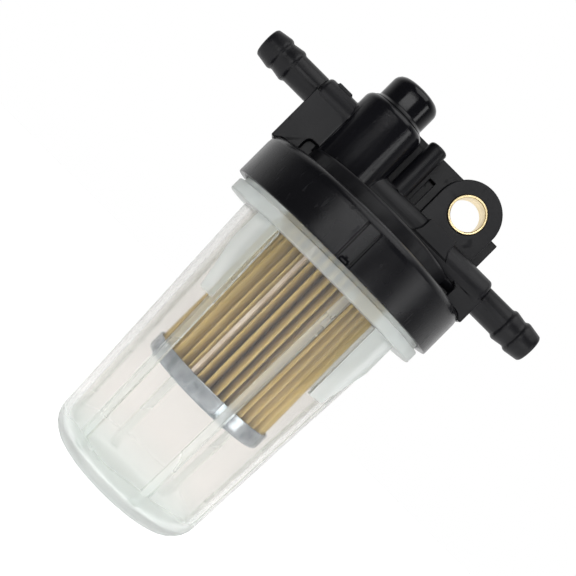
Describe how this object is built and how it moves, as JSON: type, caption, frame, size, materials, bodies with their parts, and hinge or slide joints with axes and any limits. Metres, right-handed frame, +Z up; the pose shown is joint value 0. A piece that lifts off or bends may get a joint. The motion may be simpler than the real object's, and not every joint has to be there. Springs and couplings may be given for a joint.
{
  "type": "fuel filter",
  "caption": "Fuel filter with a moulded head, two barbed hose tubes, a bolting eye, a screw ring, a clear bowl and a pleated paper element.",
  "frame": {"origin": "centre of the bowl's underside, on the bowl's axis", "axes": "+Z up along the bowl's axis, +X towards the outlet tube, +Y towards the machine that the eye is bolted to"},
  "size_m": [0.097, 0.0622, 0.1185],
  "materials": {
    "black_moulding": "satin, fine moulded grain",
    "black_gloss": "gloss moulded",
    "black_satin": "satin moulded",
    "brass": "turned",
    "steel": "bright",
    "plated_steel": "zinc plated sheet",
    "rubber": "moulded",
    "clear_nylon": "translucent moulded",
    "filter_paper": "resin-treated pleated paper",
    "glue": "cast"
  },
  "bodies": {
    "head": {"head": "black_moulding", "head_base": "black_moulding", "chamber_cap": "black_gloss", "mount_bush": "brass", "valve_seat": "brass", "valve_spring": "steel", "valve_retainer": "black_moulding"},
    "ring": {"retaining_ring": "black_satin"},
    "seal": {"bowl_seal": "rubber"},
    "bowl": {"bowl": "clear_nylon"},
    "element": {"element_paper": "filter_paper", "element_seam": "glue", "element_core": "plated_steel", "element_top_cap": "plated_steel", "element_bottom_cap": "plated_steel", "element_top_glue": "glue", "element_bottom_glue": "glue", "element_grommet": "rubber"},
    "ball": {"valve_ball": "steel"}
  },
  "joints": [
    {"name": "ring_turn", "type": "hinge", "parent": "head", "child": "ring", "pos_m": [0, 0, 0.08], "axis": [0, 0, 1], "range_deg": [0, 630]},
    {"name": "seal_lower", "type": "slide", "parent": "head", "child": "seal", "axis": [0, 0, -1], "range_m": [0, 0.007]},
    {"name": "bowl_pull", "type": "slide", "parent": "seal", "child": "bowl", "axis": [0, 0, -1], "range_m": [0, 0.06]},
    {"name": "element_pull", "type": "slide", "parent": "head", "child": "element", "axis": [0, 0, -1], "range_m": [0, 0.01]},
    {"name": "valve_lift", "type": "slide", "parent": "head", "child": "ball", "axis": [0, 0, -1], "range_m": [0, 0.0016], "stiffness_N_per_m": 40, "springref_m": -0.002, "deforming": ["valve_spring"]}
  ],
  "couplings": [
    {"joint": "seal_lower", "follows": "ring_turn", "m_per_rad": 0.0006366}
  ]
}
